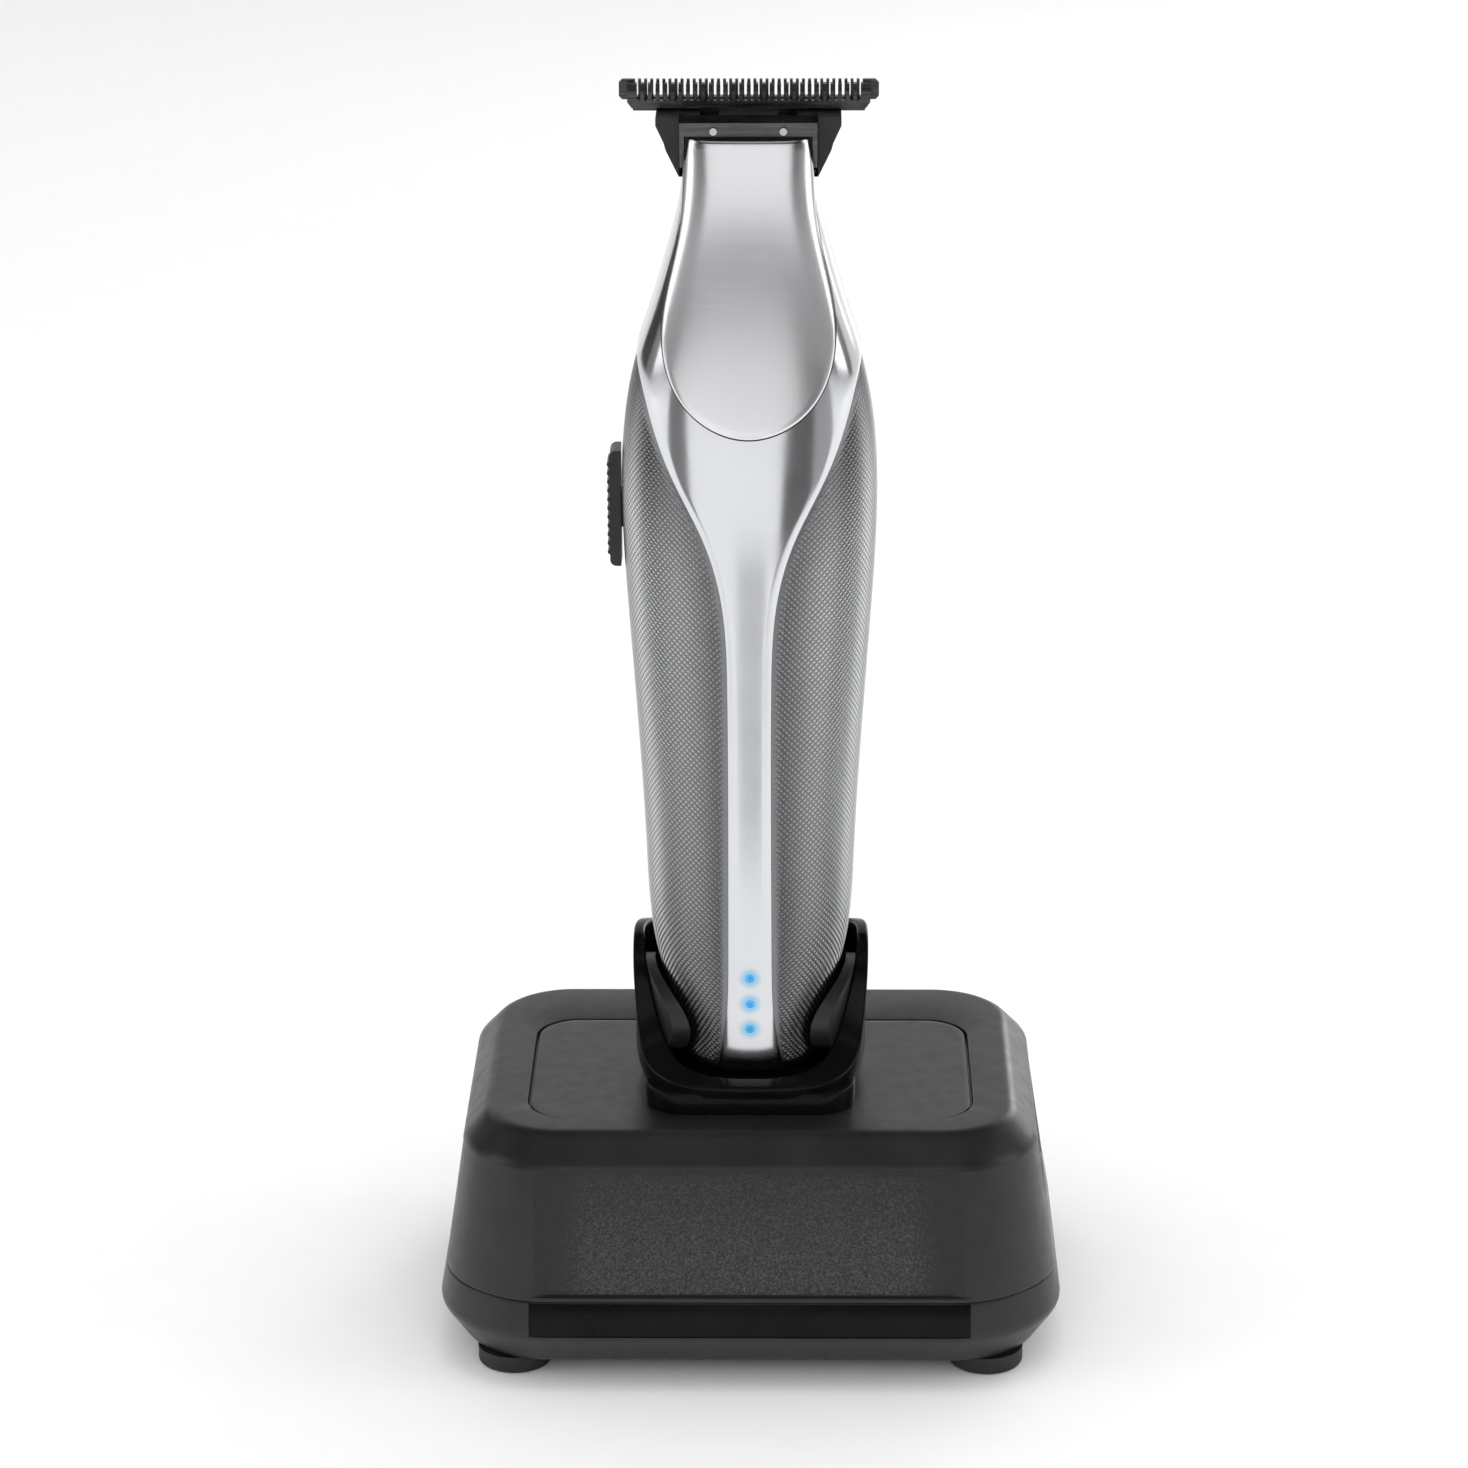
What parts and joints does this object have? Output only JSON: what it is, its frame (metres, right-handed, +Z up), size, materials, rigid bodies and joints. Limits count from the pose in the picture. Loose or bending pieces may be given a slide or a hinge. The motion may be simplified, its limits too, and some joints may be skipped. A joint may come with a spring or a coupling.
{
  "type": "cordless trimmer with charging stand",
  "caption": "Cordless T-blade beard and body trimmer with knurled grips and a chrome spine, standing in a weighted black charging stand.",
  "frame": {"origin": "centre of the stand's footprint, on the surface that the feet stand on", "axes": "+Z up along the trimmer, the front of the stand and the lid of the trimmer face -Y, +X to the right seen from the front"},
  "size_m": [0.098, 0.0746, 0.1994],
  "materials": {
    "chrome": "polished chrome plating",
    "knurled_silver": "satin silver with a fine diamond knurl",
    "brushed_aluminium": "satin aluminium brushed across",
    "blade_steel": "blackened ground steel",
    "bracket_steel": "dark satin steel",
    "bright_steel": "bright machined steel",
    "zinc_screw": "zinc-plated screw steel",
    "black_plastic": "satin black moulding",
    "black_textured": "black moulding with a sandblasted texture",
    "black_gloss": "gloss black moulding",
    "pad_rubber": "soft dark grey rubber",
    "foot_rubber": "black rubber",
    "grey_plastic": "grey moulding",
    "lamp_blue": "clear blue light pipe",
    "board_green": "green circuit board with solder mask",
    "contact_brass": "gold-plated brass",
    "battery_sleeve": "blue shrink sleeve",
    "motor_steel": "zinc-plated motor can",
    "cast_ballast": "raw cast iron"
  },
  "bodies": {
    "stand": {"stand_shell": "black_plastic", "stand_tray": "black_plastic", "deck_plate": "black_plastic", "front_panel": "black_textured", "side_panels": "black_textured", "front_strip": "black_gloss", "cradle": "black_gloss", "cradle_pads": "pad_rubber", "contact_block": "grey_plastic", "contact_barrels": "contact_brass", "contact_spring_left": "bright_steel", "contact_spring_right": "bright_steel", "ballast_plate": "cast_ballast", "stand_board": "board_green", "power_socket": "black_plastic", "tray_screws": "zinc_screw", "board_screws": "zinc_screw", "cradle_screws": "zinc_screw", "feet": "foot_rubber"},
    "trimmer": {"front_housing": "chrome", "rear_housing": "chrome", "grip_left": "knurled_silver", "grip_right": "knurled_silver", "lid": "brushed_aluminium", "housing_screws": "zinc_screw", "lamp_lenses": "lamp_blue", "blade_carrier": "black_plastic", "blade_bracket": "bracket_steel", "bracket_pins": "bright_steel", "fixed_blade": "blade_steel", "blade_screws": "zinc_screw", "tension_spring": "bright_steel", "motor_can": "motor_steel", "motor_magnets": "cast_ballast", "motor_collar": "grey_plastic", "battery_cell": "battery_sleeve", "battery_tray": "grey_plastic", "main_board": "board_green", "board_chips": "black_plastic", "lamp_board": "board_green", "end_cap": "black_plastic", "charging_contacts": "contact_brass", "charging_jack": "black_plastic", "switch_body": "black_plastic"},
    "cutter": {"cutter_blade": "blade_steel", "cam_follower": "black_plastic"},
    "motor_rotor": {"motor_shaft": "bright_steel", "motor_armature": "motor_steel", "eccentric_cam": "bright_steel"},
    "switch": {"switch_button": "black_plastic"},
    "pin_left": {"contact_pin_left": "contact_brass"},
    "pin_right": {"contact_pin_right": "contact_brass"}
  },
  "joints": [
    {"name": "trimmer_lift", "type": "slide", "parent": "stand", "child": "trimmer", "axis": [0, 0, 1], "range_m": [0, 0.03]},
    {"name": "motor_turn", "type": "hinge", "parent": "trimmer", "child": "motor_rotor", "pos_m": [0, -0.008, 0.1645], "axis": [0, 0, -1], "range_deg": [-90, 90]},
    {"name": "cutter_stroke", "type": "slide", "parent": "trimmer", "child": "cutter", "axis": [1, 0, 0], "range_m": [-0.001, 0.001]},
    {"name": "switch_slide", "type": "slide", "parent": "trimmer", "child": "switch", "axis": [0, 0, 1], "range_m": [0, 0.004]},
    {"name": "pin_left_press", "type": "slide", "parent": "stand", "child": "pin_left", "axis": [0, 0, 1], "range_m": [-0.0006, 0], "stiffness_N_per_m": 300, "springref_m": 0.0003, "deforming": ["contact_spring_left"]},
    {"name": "pin_right_press", "type": "slide", "parent": "stand", "child": "pin_right", "axis": [0, 0, 1], "range_m": [-0.0006, 0], "stiffness_N_per_m": 300, "springref_m": 0.0003, "deforming": ["contact_spring_right"]}
  ],
  "couplings": [
    {"joint": "motor_turn", "follows": "cutter_stroke", "rad_per_m": 1570.8}
  ]
}
